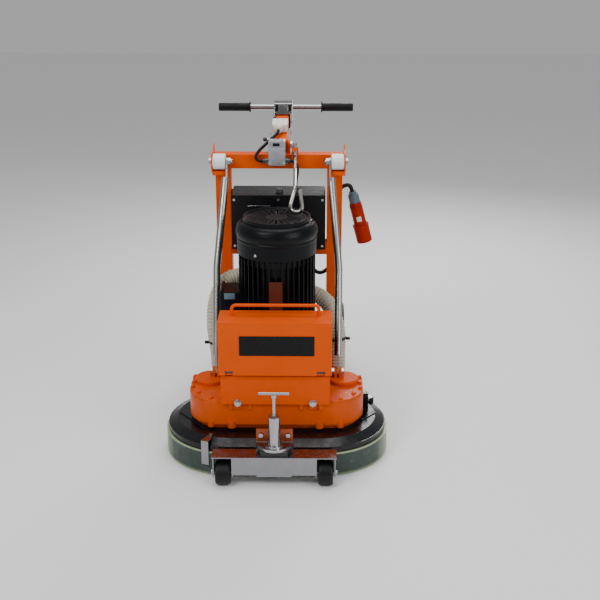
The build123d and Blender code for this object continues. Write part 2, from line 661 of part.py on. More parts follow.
def frame_bolts():
    """Zinc-plated bolts of the frame, struts, bracket, dolly plate and cabinet."""
    bolts = both_sides(bolt_across(194, BEAM_X + 6, ROLLER_Y, ROLLER_Z, True))
    foot_x, foot_y, foot_z = STRUT_FOOT
    bolts += both_sides(bolt_across(foot_x - 14, foot_x + 14, foot_y, foot_z, False))
    bolts.append(bolt_across(MAST_X - MAST_OUTER / 2 - 10, MAST_X + MAST_OUTER / 2 + 10, MAST_Y, MAST_Z,
                             False))
    for x in (-135.5, 135.5):
        stud = rod(BOLT_R, (x, -164, 243), (x, -132, 243))
        stud += rod(13, (x, -153, 243), (x, BRACKET_FRONT, 243))
        head = Plane(origin=(x, -162, 243), z_dir=(0, -1, 0)) * RegularPolygon(11, 6)
        bolts.append(stud + extrude(head, amount=-9))
    for x in (-48, 48):
        bolts.append(rod(8, (x, -260, 167), (x, -254, 167)))
    for x, z in ((-168, 880), (0, 880), (168, 880), (-168, 698), (168, 698)):
        bolts.append(rod(5, (x, CABINET_FRONT - 4, z), (x, CABINET_FRONT, z)))
    return bolts


def strut(side):
    """Bent round tube with flattened ends, bolted top and bottom."""
    foot, bend, head = Vector(*STRUT_FOOT), Vector(*STRUT_BEND), Vector(*STRUT_HEAD)
    low = foot + (bend - foot).normalized() * 60
    high = head + (bend - head).normalized() * 62
    route = FilletPolyline(low, bend, high, radius=260)
    shape = sweep(Plane(origin=low, z_dir=bend - low) * Circle(STRUT_R), path=route)
    for end, near in ((foot, low), (head, high)):
        reach = (near - end).length + 14
        angle = degrees(atan2(near.Z - end.Z, near.Y - end.Y))
        flat = Pos(end.X, end.Y, end.Z) * Rot(angle, 0, 0) * Pos(0, reach / 2, 0) * Box(6, reach, 32)
        flat += Pos(end.X, end.Y, end.Z) * Rot(0, 90, 0) * Cylinder(16, 6)
        shape += flat - across(BOLT_R, end.X - 10, end.X + 10, end.Y, end.Z)
    return shape if side > 0 else mirror_x(shape)


def struts():
    return [strut(-1), strut(1)]


# ---------------------------------------------------------------- cabinet

def cabinet_shell():
    shell = block(-CABINET_X, CABINET_X, CABINET_FRONT + 3, CABINET_BACK, CABINET_BOTTOM, CABINET_TOP)
    shell = fillet(shell.edges().filter_by(Axis.Y).group_by(Axis.Z)[-1], 5)
    shell -= block(-CABINET_X + 3, CABINET_X - 3, CABINET_FRONT + 2, CABINET_BACK + 1,
                   CABINET_BOTTOM + 3, CABINET_TOP - 3)
    for i in range(9):
        shell -= block(CABINET_X - 4, CABINET_X + 1, 330, 430, 720 + 16 * i, 726 + 16 * i)
    shell -= drum(10, CABINET_BOTTOM - 1, CABINET_BOTTOM + 4, 120, 400)
    for z in (715, 845):
        shell += rod(2.5, (HINGE_X, HINGE_Y, z), (HINGE_X, HINGE_Y, z + 36))
        shell += ring(5, 2, z, z + 15, HINGE_X, HINGE_Y)
        shell += block(HINGE_X - 3, HINGE_X + 1, CABINET_BACK - 6, HINGE_Y, z, z + 15)
        shell += block(HINGE_X - 3, -CABINET_X + 2, CABINET_BACK - 12, CABINET_BACK, z, z + 15)
    return shell


def cabinet_front():
    """Screwed cover on the front of the cabinet."""
    cover = block(-CABINET_X + 1, CABINET_X - 1, CABINET_FRONT, CABINET_FRONT + 3,
                  CABINET_BOTTOM + 1, CABINET_TOP - 1)
    return cover


def cabinet_door():
    door = block(HINGE_X + 6, CABINET_X - 4, CABINET_BACK + 1, CABINET_BACK + 7,
                 CABINET_BOTTOM + 3, CABINET_TOP - 3)
    for z in (730.5, 860.5):
        door += ring(5, 2.5 + FIT, z, z + 20, HINGE_X, HINGE_Y)
        door += block(HINGE_X + 4.4, HINGE_X + 12, CABINET_BACK + 5, HINGE_Y + 2, z, z + 20)
    door += rod(9, (150, CABINET_BACK + 7, 790), (150, CABINET_BACK + 12, 790))
    return door


def inverter():
    """Frequency inverter with its heat sink, fixed to the cabinet floor."""
    body = block(-120, 60, 335, 430, CABINET_BOTTOM + 3, 850)
    for i in range(14):
        body -= block(-116 + 13 * i, -109 + 13 * i, 334, 352, 690, 851)
    return body


def gland(radius, start, end):
    """A cable gland: a hexagonal body and a round dome nut along one line."""
    along = Vector(*end) - Vector(*start)
    middle = Vector(*start) + along * 0.5
    body = extrude(Plane(origin=start, z_dir=along) * RegularPolygon(radius, 6), amount=along.length / 2)
    return body + rod(radius * 0.88, tuple(middle), end)


def cable_glands():
    return [gland(11, (26, 375, 1013), (44, 375, 1013)), gland(11, (-38, 375, 1013), (-58, 375, 1013)),
            gland(13, (67, 350, CABINET_TOP), LINK_CABLE[-1]),
            gland(14, (5, 352, CABINET_TOP), (5, 352, 911)),
            gland(14, (120, 400, CABINET_BOTTOM), (120, 400, 665))]


def junction_box():
    box = block(-38, 26, 349, FRAME_Y - TUBE / 2, 1001, 1094)
    box = fillet(box.edges().filter_by(Axis.Y), 4)
    box -= block(-34, 22, 353, 396, 1005, 1090)
    return box


def cable_hook():
    """Swivelling J hook of round bar, with collars above and below its lug."""
    stem = [(63, 383, 1082), (63, 383, 1034), (65, 300, 996), (66, 150, 962), (50, 128, 905),
            (51, 128, 879), (91, 128, 879), (92, 128, 905), (85, 130, 962)]
    path = FilletPolyline(*stem, radius=[12, 30, 20, 25, 19, 19, 50])
    hook = sweep(Plane(origin=stem[0], z_dir=(0, 0, -1)) * Circle(7), path=path)
    hook += drum(11, 1064.3, 1070, 63, 383) + drum(11, 1046, 1051.7, 63, 383)
    return hook


# ---------------------------------------------------------------- dust extraction

def dust_manifold():
    """Upright collector pipe with two side stubs, a rear outlet and its foot bracket."""
    pipe = drum(38, 480, 640, 0, 330)
    stubs = [((0, 330, HOSE_RIGHT[-1][2]), HOSE_RIGHT[-1]), ((0, 330, HOSE_LEFT[-1][2]), HOSE_LEFT[-1])]
    for start, end in stubs:
        pipe += rod(29, start, end)
    pipe += rod(38, (0, 330, 560), (0, 428, 560)) + rod(43, (0, 364, 560), (0, 372, 560))
    pipe -= drum(35, 484, 636, 0, 330)
    for start, end in stubs:
        pipe -= rod(26, start, end)
    pipe -= rod(35, (0, 330, 560), (0, 429, 560))
    pipe += block(-15, 15, 318, 342, 300, 484)
    pipe += block(-15, 15, 318, FRAME_Y - TUBE / 2, 300, 318)
    return pipe


# ---------------------------------------------------------------- front dolly

def dolly_mount():
    """Plate on the pan, half-round flange, jack housing and lock nut."""
    mount = block(-65, 65, -254, -245, 96, 190)
    mount += block(-65, 65, -246, -PAN_R, 96, PAN_RIM_TOP)
    flange = drum(66, 130, 140, 0, -254) - block(-80, 80, -254, -150, 120, 150)
    mount += flange + drum(JACK_R, 134, 255, 0, JACK_Y) + drum(30, 136, 148, 0, JACK_Y)
    mount = mount - drum(POST_R + FIT, 129, 240, 0, JACK_Y) - drum(5.5 + FIT, 239, 256, 0, JACK_Y)
    nut = Pos(0, JACK_Y, 255) * extrude(RegularPolygon(9.5, 6) - Circle(5.5 + FIT), 9)
    return mount + nut


def dolly_carrier():
    """Folded stainless carrier with its guide post, rubber buffer and axle bolts."""
    plate = block(-220, 220, DOLLY_Y - 22, DOLLY_Y + 45, 108, 112)
    plate += block(-150, 150, DOLLY_Y - 22, DOLLY_Y - 18, 43, 112)
    plate += block(-62, 62, DOLLY_Y - 22, DOLLY_Y - 18, 37, 60)
    for side in (-1, 1):
        for edge in (150, 216):
            x0, x1 = sorted((side * (edge - 4), side * edge))
            plate += block(x0, x1, DOLLY_Y - 22, DOLLY_Y + 24, 34, 112)
        axle = sorted((side * 144, side * 220))
        plate += across(6, axle[0], axle[1], DOLLY_Y, DOLLY_WHEEL_R)
        head = sorted((side * 216, side * 223))
        plate += hex_across(18, head[0], head[1], DOLLY_Y, DOLLY_WHEEL_R)
    plate += block(-48, 48, -315, -256, 111, 129) + drum(POST_R, 111, 190, 0, JACK_Y)
    return plate


def dolly_wheel(side):
    """Solid rubber wheel with rounded shoulders."""
    x0, x1 = sorted((side * (DOLLY_WHEEL_X - 26.5), side * (DOLLY_WHEEL_X + 26.5)))
    wheel = across(DOLLY_WHEEL_R, x0, x1, DOLLY_Y, DOLLY_WHEEL_R)
    wheel = fillet(wheel.edges(), 9)
    return wheel - across(6 + FIT, x0 - 1, x1 + 1, DOLLY_Y, DOLLY_WHEEL_R)


def jack_screw():
    """Screw that pushes the carrier down, with its sliding T bar."""
    screw = drum(5.5, 190.2, 342, 0, JACK_Y)
    screw += drum(9, 326, 338, 0, JACK_Y)
    screw += across(5, -54, 54, JACK_Y, 342)
    return screw


# ---------------------------------------------------------------- mast

def on_mast(shape):
    """Place a shape drawn with the mast along +Y from its pivot at the origin."""
    return Pos(MAST_X, MAST_Y, MAST_Z) * Rot(MAST_TILT, 0, 0) * shape


def mast_tube():
    half, bore = MAST_OUTER / 2, MAST_INNER / 2 + 0.1
    mast = block(-half, half, -14, MAST_LENGTH, -half, half)
    mast = fillet(mast.edges().filter_by(Axis.Y), 4)
    mast -= block(-bore, bore, 30, MAST_LENGTH + 1, -bore, bore)
    mast -= across(BOLT_R + FIT, -40, 40, 0, 0)
    mast -= across(5 + FIT, -40, 0, KNOB_ALONG, 0)
    return on_mast(mast)


def mast_clamp():
    """Stainless collar at the mouth of the mast."""
    half = MAST_OUTER / 2
    bore = MAST_INNER / 2 + 0.3
    collar = block(-31, 31, MAST_LENGTH - 24, MAST_LENGTH + 2, -half - 5, half + 7)
    collar -= block(-half, half, MAST_LENGTH - 30, MAST_LENGTH, -half, half)
    return on_mast(collar - block(-bore, bore, 150, 300, -bore, bore))


def mast_slide():
    """Stainless inner tube."""
    half = MAST_INNER / 2
    slide = block(-half, half, 40, BAR_ALONG + 4, -half, half)
    slide = slide - block(-half + 3, half - 3, 39, BAR_ALONG - 20, -half + 3, half - 3)
    return on_mast(slide)


def handlebar():
    """T bar with the wide cap that holds it on the inner tube, its cheeks and its hanging strap."""
    bar = across(BAR_R, BAR_SHIFT - BAR_LENGTH / 2 + 4, BAR_SHIFT + BAR_LENGTH / 2 - 4, BAR_ALONG, 0)
    cap = block(-38, 38, BAR_ALONG - 20, BAR_ALONG + 16, -26, 24)
    bar += fillet(cap.edges().filter_by(Axis.X), 5)
    bar += block(33, 38, 190, BAR_ALONG - 16, -14, 14) + block(34, 37, 106, 192, -8, 6)
    bar += block(-38, -33, 225, BAR_ALONG - 16, -14, 14)
    bar -= block(-MAST_INNER / 2, MAST_INNER / 2, BAR_ALONG - 30, BAR_ALONG + 4,
                 -MAST_INNER / 2, MAST_INNER / 2)
    return on_mast(bar)


def handle_grips():
    grips = []
    for side in (-1, 1):
        outer = BAR_SHIFT + side * BAR_LENGTH / 2
        inner = outer - side * GRIP_LENGTH
        low, high = sorted((outer, inner))
        grip = fillet(across(GRIP_R, low, high, BAR_ALONG, 0).edges(), 2.5)
        low, high = sorted((inner, inner + side * 5))
        grip += across(21.5, low, high, BAR_ALONG, 0)
        low, high = sorted((outer - side * 4, inner - side))
        grips.append(on_mast(grip - across(BAR_R, low, high, BAR_ALONG, 0)))
    return grips


def clamp_knob():
    """Clamping screw on the mast's left side, with its knob and its lever."""
    knob = across(5, -64, -MAST_INNER / 2 - 0.2, KNOB_ALONG, 0) + across(10, -47, -27, KNOB_ALONG, 0)
    knob += fillet(across(8, -72, -57, KNOB_ALONG, 0).edges(), 5)
    knob += block(-45.5, -38.5, KNOB_ALONG - 6, KNOB_ALONG + 6, -3, 31)
    return on_mast(knob)


def end_place(x, height):
    """A place on the rear end of the operator box, with Z pointing out of it along the mast."""
    return Pos(x, OPERATOR_BOX_END, height) * Rot(-90, 0, 0)


CONTROLS = {"stop_button": (6, 11, 8, 39, 5), "start_button": (4, 7, -20, 39, 3)}


def operator_box():
    """Moulded control box on top of the mast, with its cable gland in front and buttons behind."""
    outline = [(52, 25), (OPERATOR_BOX_END, 25), (OPERATOR_BOX_END, 53), (88, 66), (52, 61)]
    box = prism(outline, -35, 24)
    box = fillet(box.edges().filter_by(Axis.X), 6)
    box -= prism([(58, 31), (120, 31), (120, 48), (87, 60), (58, 56)], -31, 20)
    box += rod(18, (-11, 52.5, 45), (-11, 42, 45)) + rod(14, (-11, 44, 45), (-11, 33, 45))
    for stem_r, _, x, height, _ in CONTROLS.values():
        box -= end_place(x, height) * Cylinder(stem_r + FIT, 20)
    return on_mast(box)


def control(stem_r, cap_r, x, height, travel):
    """A push button: its stem through the end wall and the cap behind it."""
    stem = drum(stem_r, -9, travel + 1)
    cap = drum(cap_r, travel, travel + 8)
    cap = fillet(cap.edges().group_by(Axis.Z)[-1], 2)
    return on_mast(end_place(x, height) * (stem + cap))


def plug_parts():
    """Industrial plug hanging on the lead: collar, body with its flange and sleeve."""
    top, end = Vector(*PLUG_TOP), Vector(*PLUG_END)
    way = (end - top).normalized()

    def piece(radius, start, stop):
        return rod(radius, tuple(top + way * start), tuple(top + way * stop))

    collar = piece(15, 0, 14) + piece(20.5, 12, 46)
    body = piece(23, 46, 110) + piece(25, 60, 150) + piece(32, 140, 150)
    sleeve = piece(31, 150, 213) - piece(27, 160, 214)
    pins = piece(22, 150, 162)
    return collar, body + sleeve + pins


def main():
    os.makedirs("parts", exist_ok=True)
    phases = gear_phases()
    save("dust_skirt", dust_skirt())
    save("dust_pan", dust_pan())
    save("skirt_clips", skirt_clip(-110, -SKIRT_ARC_X), skirt_clip(38, SKIRT_ARC_X))
    save("gearbox_base", gearbox_base())
    save("gearbox_casting", gearbox_casting())
    save("casting_screws", *casting_screws())
    save("bearing_caps", *bearing_caps())
    save("shaft_bearings", *shaft_bearings())
    save("idler_gear_left", idler_gear(IDLER_LEFT, phases["idler_left"]))
    save("idler_gear_right", idler_gear(IDLER_RIGHT, phases["idler_right"]))
    for name, x, y in heads():
        save(f"head_spindle_{name}", head_spindle(name, x, y, phases[name]))
        save(f"grinding_disc_{name}", grinding_disc(x, y))
    save("motor_housing", motor_housing())
    save("motor_cowl", motor_cowl())
    save("terminal_box", terminal_box())
    save("rotor_shaft", rotor_shaft())
    save("cooling_fan", cooling_fan())
    save("front_bracket", front_bracket())
    save("weight_box", weight_box())
    save("ballast_plates", *ballast_plates())
    save("blank_plate", blank_plate())
    save("rear_frame", rear_frame())
    for name, side in (("left", -1), ("right", 1)):
        save(f"transport_roller_{name}", transport_roller(side))
        save(f"rear_wheel_{name}", *rear_wheel(side))
        save(f"dolly_wheel_{name}", dolly_wheel(side))
    save("frame_bolts", *frame_bolts())
    save("struts", *struts())
    save("cabinet_shell", cabinet_shell())
    save("cabinet_front", cabinet_front())
    save("cabinet_door", cabinet_door())
    save("inverter", inverter())
    save("cable_glands", *cable_glands())
    save("junction_box", junction_box())
    save("cable_hook", cable_hook())
    save("dust_manifold", dust_manifold())
    save("dust_hoses", tube(HOSE_RIGHT, HOSE_R, "right hose"), tube(HOSE_LEFT, HOSE_R, "left hose"))
    save("dolly_mount", dolly_mount())
    save("dolly_carrier", dolly_carrier())
    save("jack_screw", jack_screw())
    save("mast_tube", mast_tube())
    save("mast_clamp", mast_clamp())
    save("mast_slide", mast_slide())
    save("handlebar", handlebar())
    save("handle_grips", *handle_grips())
    save("clamp_knob", clamp_knob())
    save("operator_box", operator_box())
    for name, sizes in CONTROLS.items():
        save(name, control(*sizes))
    save("operator_cable", tube(OPERATOR_CABLE, OPERATOR_CABLE_R, "operator cable"))
    save("link_cable", tube(LINK_CABLE, LINK_CABLE_R, "link cable"))
    save("power_lead", tube(LEAD, LEAD_R, "power lead"))
    collar, plug = plug_parts()
    save("plug_collar", collar)
    save("plug_body", plug)


main()
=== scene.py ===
"""Floor grinder: materials, cords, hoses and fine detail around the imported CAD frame. Metres, row frame."""
import json
import math

import bmesh
import bpy
from mathutils import Matrix, Vector


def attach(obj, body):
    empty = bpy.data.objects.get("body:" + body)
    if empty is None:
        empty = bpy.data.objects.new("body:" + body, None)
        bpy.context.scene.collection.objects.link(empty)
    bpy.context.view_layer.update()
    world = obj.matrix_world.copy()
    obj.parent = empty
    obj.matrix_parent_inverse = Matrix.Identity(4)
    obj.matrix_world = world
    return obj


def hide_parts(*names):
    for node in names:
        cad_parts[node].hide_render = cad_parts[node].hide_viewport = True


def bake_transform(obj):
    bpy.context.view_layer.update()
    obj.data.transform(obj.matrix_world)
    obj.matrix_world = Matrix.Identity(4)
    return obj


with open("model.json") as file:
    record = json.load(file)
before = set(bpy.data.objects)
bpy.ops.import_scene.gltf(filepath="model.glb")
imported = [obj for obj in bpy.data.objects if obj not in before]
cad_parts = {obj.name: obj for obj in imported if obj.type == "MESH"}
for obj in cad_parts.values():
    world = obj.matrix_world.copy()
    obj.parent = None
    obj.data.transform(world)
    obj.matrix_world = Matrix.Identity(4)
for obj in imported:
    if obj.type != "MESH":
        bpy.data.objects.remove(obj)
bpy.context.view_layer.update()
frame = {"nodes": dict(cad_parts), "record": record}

DECK_BACK = 0.2355        # the grinding deck's centre lies this far in front of the row's origin
MAST_PIVOT = Vector((0.008, 0.445 - DECK_BACK, 1.062))
MAST_TILT = math.radians(14.5)
MAST_WAY = Vector((0.0, math.cos(MAST_TILT), math.sin(MAST_TILT)))


def deck(x, y, z):
    """A point given in millimetres from the deck's centre, in the row frame."""
    return Vector((x / 1000, y / 1000 - DECK_BACK, z / 1000))


# ---------------------------------------------------------------- camera, light and floor

def camera_and_light():
    camera = bpy.data.objects.new("camera", bpy.data.cameras.new("camera"))
    camera.data.lens = 64.26
    camera.data.sensor_width = 36.0
    camera.data.clip_start = 0.05
    camera.location = deck(136, -3655, 1900)
    camera.rotation_euler = (math.radians(70.2), 0.0, math.radians(0.77))
    bpy.context.scene.collection.objects.link(camera)
    bpy.context.scene.camera = camera

    world = bpy.data.worlds.new("studio")
    world.use_nodes = True
    sky = world.node_tree.nodes["Background"]
    sky.inputs["Color"].default_value = (1.0, 1.0, 1.0, 1.0)
    sky.inputs["Strength"].default_value = 0.42
    bpy.context.scene.world = world

    lamps = [("key", (-1.9, -2.6, 3.2), 1.6, 70), ("fill", (2.4, -2.2, 1.8), 1.6, 36),
             ("top", (0.1, 0.3, 3.4), 2.0, 50), ("rim", (0.9, 2.8, 2.2), 1.2, 50)]
    for name, place, size, power in lamps:
        lamp = bpy.data.lights.new(name, "AREA")
        lamp.size = size
        lamp.energy = power
        holder = bpy.data.objects.new(name, lamp)
        holder.location = place
        aim = Vector((0.0, 0.0, 0.5)) - Vector(place)
        holder.rotation_euler = aim.to_track_quat("-Z", "Y").to_euler()
        bpy.context.scene.collection.objects.link(holder)


def floor():
    mesh = bpy.data.meshes.new("floor")
    half = 12.0
    mesh.from_pydata([(-half, -half, 0), (half, -half, 0), (half, half, 0), (-half, half, 0)], [],
                     [(0, 1, 2, 3)])
    ground = bpy.data.objects.new("floor", mesh)
    bpy.context.scene.collection.objects.link(ground)
    mat = bpy.data.materials.new("pale_floor")
    mat.use_nodes = True
    shader = mat.node_tree.nodes["Principled BSDF"]
    shader.inputs["Base Color"].default_value = (0.9, 0.9, 0.9, 1)
    shader.inputs["Roughness"].default_value = 0.7
    mesh.materials.append(mat)


# ---------------------------------------------------------------- materials

class Finish:
    """One procedural material: tint patches, fine grain, uneven gloss and rounded edges whose tint is partly wear
    and partly a painted highlight.
    """

    def __init__(self, name):
        self.mat = bpy.data.materials.new(name)
        self.mat.use_nodes = True
        self.nodes = self.mat.node_tree.nodes
        self.links = self.mat.node_tree.links
        self.shader = self.nodes["Principled BSDF"]
        self.place = self.nodes.new("ShaderNodeTexCoord").outputs["Object"]

    def link(self, start, end):
        self.links.new(start, end)

    def noise(self, scale, detail=3.0, stretch=None):
        node = self.nodes.new("ShaderNodeTexNoise")
        node.inputs["Scale"].default_value = scale
        node.inputs["Detail"].default_value = detail
        place = self.place
        if stretch:
            mapping = self.nodes.new("ShaderNodeMapping")
            mapping.inputs["Scale"].default_value = stretch
            self.link(place, mapping.inputs["Vector"])
            place = mapping.outputs["Vector"]
        self.link(place, node.inputs["Vector"])
        return node.outputs["Fac"]

    def span(self, value, low, high, to_low, to_high):
        node = self.nodes.new("ShaderNodeMapRange")
        for socket, number in zip(("From Min", "From Max", "To Min", "To Max"), (low, high, to_low, to_high)):
            node.inputs[socket].default_value = number
        self.link(value, node.inputs["Value"])
        return node.outputs["Result"]

    def mix(self, factor, first, second):
        """Mix two colours, each a tuple or a socket."""
        node = self.nodes.new("ShaderNodeMix")
        node.data_type = "RGBA"
        self.link(factor, node.inputs["Factor"])
        for name, colour in (("A", first), ("B", second)):
            socket = [s for s in node.inputs if s.name == name and s.type == "RGBA"][0]
            if isinstance(colour, tuple):
                socket.default_value = (*colour, 1.0)
            else:
                self.link(colour, socket)
        return [s for s in node.outputs if s.type == "RGBA"][0]

    def soft_edges(self, radius):
        """Normal rounded at sharp edges, and a mask that is 1 on those edges."""
        bevel = self.nodes.new("ShaderNodeBevel")
        bevel.samples = 4
        bevel.inputs["Radius"].default_value = radius
        geometry = self.nodes.new("ShaderNodeNewGeometry")
        dot = self.nodes.new("ShaderNodeVectorMath")
        dot.operation = "DOT_PRODUCT"
        self.link(bevel.outputs["Normal"], dot.inputs[0])
        self.link(geometry.outputs["Normal"], dot.inputs[1])
        return bevel.outputs["Normal"], self.span(dot.outputs["Value"], 0.995, 0.86, 0.0, 1.0)

    def bump(self, height, strength, distance, normal=None):
        node = self.nodes.new("ShaderNodeBump")
        node.inputs["Strength"].default_value = strength
        node.inputs["Distance"].default_value = distance
        self.link(height, node.inputs["Height"])
        if normal is not None:
            self.link(normal, node.inputs["Normal"])
        return node.outputs["Normal"]

    def axis(self, name):
        """The X, Y or Z place of a point of the surface, in metres."""
        node = self.nodes.new("ShaderNodeSeparateXYZ")
        self.link(self.place, node.inputs[0])
        return node.outputs[name]


def surface(name, colour, metal=0.0, rough=0.45, patch=0.12, patch_scale=14.0, grain=700.0, grain_depth=0.0002,
            grain_strength=0.3, stretch=None, edge=None, edge_radius=0.0012, coat=0.0, dirt=None, shine=0.5):
    """A finish from a few plain facts about the real surface."""
    f = Finish(name)
    darker = tuple(c * (1 - patch) for c in colour)
    lighter = tuple(min(1.0, c * (1 + patch)) for c in colour)
    tint = f.mix(f.noise(patch_scale, 5.0), darker, lighter)
    normal = None
    if edge_radius:
        normal, mask = f.soft_edges(edge_radius)
        # The edge colour, a lighter tone of the finish, is partly wear and partly a painted highlight along the
        # rounded edges.
        if edge is not None:
            worn_and_highlit_edge = f.nodes.new("ShaderNodeMath")
            worn_and_highlit_edge.operation = "MULTIPLY"
            f.link(mask, worn_and_highlit_edge.inputs[0])
            f.link(f.span(f.noise(55.0, 4.0), 0.42, 0.62, 0.0, 0.8), worn_and_highlit_edge.inputs[1])
            tint = f.mix(worn_and_highlit_edge.outputs[0], tint, edge)
    if dirt is not None:
        tint = f.mix(f.span(f.noise(26.0, 7.0), 0.55, 0.78, 0.0, 0.55), tint, dirt)
    f.link(tint, f.shader.inputs["Base Color"])
    f.link(f.span(f.noise(38.0, 4.0, stretch), 0.3, 0.7, max(0.03, rough - 0.08), rough + 0.1),
           f.shader.inputs["Roughness"])
    f.link(f.bump(f.noise(grain, 3.0, stretch), grain_strength, grain_depth, normal), f.shader.inputs["Normal"])
    f.shader.inputs["Metallic"].default_value = metal
    f.shader.inputs["Coat Weight"].default_value = coat
    f.shader.inputs["Specular IOR Level"].default_value = shine
    return f.mat


def brushed(name, colour, along, rough=0.28):
    """Metal brushed along one axis: x, y or z."""
    stretch = {"x": (0.04, 1, 1), "y": (1, 0.04, 1), "z": (1, 1, 0.04)}[along]
    return surface(name, colour, metal=1.0, rough=rough, patch=0.08, grain=420.0, grain_depth=0.0003,
                   grain_strength=0.35, stretch=stretch, edge_radius=0.0008)


def two_tone(name, first, second, where, metal=(0.0, 0.0), rough=0.4, radius_about=None, shine=0.5):
    """A node made of two looks: second shows where every (axis, above, place) condition holds.
    With radius_about, the axis R is the distance from that line along X, given as its Y and Z."""
    f = Finish(name)
    mask = None
    for axis, above, place in where:
        if axis == "R":
            centre = f.nodes.new("ShaderNodeCombineXYZ")
            centre.inputs["Y"].default_value = radius_about[0]
            centre.inputs["Z"].default_value = radius_about[1]
            flat = f.nodes.new("ShaderNodeVectorMath")
            flat.operation = "MULTIPLY"
            flat.inputs[1].default_value = (0, 1, 1)
            f.link(f.place, flat.inputs[0])
            away = f.nodes.new("ShaderNodeVectorMath")
            away.operation = "DISTANCE"
            f.link(flat.outputs[0], away.inputs[0])
            f.link(centre.outputs[0], away.inputs[1])
            value = away.outputs["Value"]
        else:
            value = f.axis(axis)
        ends = (0.0, 1.0) if above else (1.0, 0.0)
        part = f.span(value, place - 0.0003, place + 0.0003, *ends)
        if mask is None:
            mask = part
        else:
            both = f.nodes.new("ShaderNodeMath")
            both.operation = "MULTIPLY"
            f.link(mask, both.inputs[0])
            f.link(part, both.inputs[1])
            mask = both.outputs[0]
    tint = f.mix(mask, first, second)
    between = tuple((a + b) * 0.4 for a, b in zip(first, second))
    dull = f.mix(f.span(f.noise(30.0, 5.0), 0.4, 0.75, 0.0, 0.10), tint, between)
    f.link(dull, f.shader.inputs["Base Color"])
    f.link(f.span(mask, 0.0, 1.0, *metal), f.shader.inputs["Metallic"])
    f.link(f.span(f.noise(40.0, 4.0), 0.3, 0.7, rough - 0.07, rough + 0.09), f.shader.inputs["Roughness"])
    normal, _ = f.soft_edges(0.0012)
    f.link(f.bump(f.noise(500.0), 0.3, 0.0003, normal), f.shader.inputs["Normal"])
    f.shader.inputs["Specular IOR Level"].default_value = shine
    return f.mat


def skirt_rubber():
    """Dark green translucent rubber, with painted light: a paler green painted at the rim and at the round ends, in
    place of the edge-on translucency seen there.
    """
    f = Finish("skirt_rubber")
    z = f.axis("Z")
    x = f.nodes.new("ShaderNodeMath")
    x.operation = "ABSOLUTE"
    f.link(f.axis("X"), x.inputs[0])
    cloudy = f.mix(f.noise(9.0, 6.0), (0.010, 0.026, 0.020), (0.022, 0.050, 0.036))
    # Painted light: the round ends are painted paler green, where the rubber is seen edge-on.
    ends = f.span(x.outputs[0], 0.375, 0.414, 0.0, 0.75)
    body = f.mix(ends, cloudy, (0.30, 0.40, 0.22))
    # Painted highlight: a pale green line painted along the top rim.
    rim = f.span(z, 0.0855, 0.0885, 0.0, 0.9)
    body = f.mix(rim, body, (0.42, 0.52, 0.30))
    hem = f.span(z, 0.014, 0.003, 0.0, 0.75)
    body = f.mix(hem, body, (0.33, 0.42, 0.24))
    dust = f.span(f.noise(60.0, 8.0), 0.56, 0.8, 0.0, 0.25)
    f.link(f.mix(dust, body, (0.30, 0.33, 0.28)), f.shader.inputs["Base Color"])
    f.link(f.span(f.noise(24.0), 0.3, 0.7, 0.28, 0.5), f.shader.inputs["Roughness"])
    f.link(f.bump(f.noise(160.0, 4.0), 0.25, 0.0005), f.shader.inputs["Normal"])
    f.shader.inputs["Transmission Weight"].default_value = 0.08
    f.shader.inputs["IOR"].default_value = 1.5
    return f.mat


def disc_steel():
    """Machined disc whose lowest ten millimetres are the diamond segments."""
    f = Finish("disc_steel")
    z = f.axis("Z")
    metal = f.mix(f.noise(30.0), (0.30, 0.30, 0.31), (0.45, 0.45, 0.46))
    grit = f.mix(f.noise(1800.0, 2.0), (0.10, 0.07, 0.03), (0.55, 0.42, 0.2))
    low = f.span(z, 0.0096, 0.0104, 1.0, 0.0)
    f.link(f.mix(low, metal, grit), f.shader.inputs["Base Color"])
    f.link(f.bump(f.noise(900.0, 2.0), 0.4, 0.0004), f.shader.inputs["Normal"])
    f.link(f.span(f.noise(40.0), 0.3, 0.7, 0.35, 0.6), f.shader.inputs["Roughness"])
    f.shader.inputs["Metallic"].default_value = 0.85
    return f.mat


ORANGE = (0.70, 0.078, 0.0)


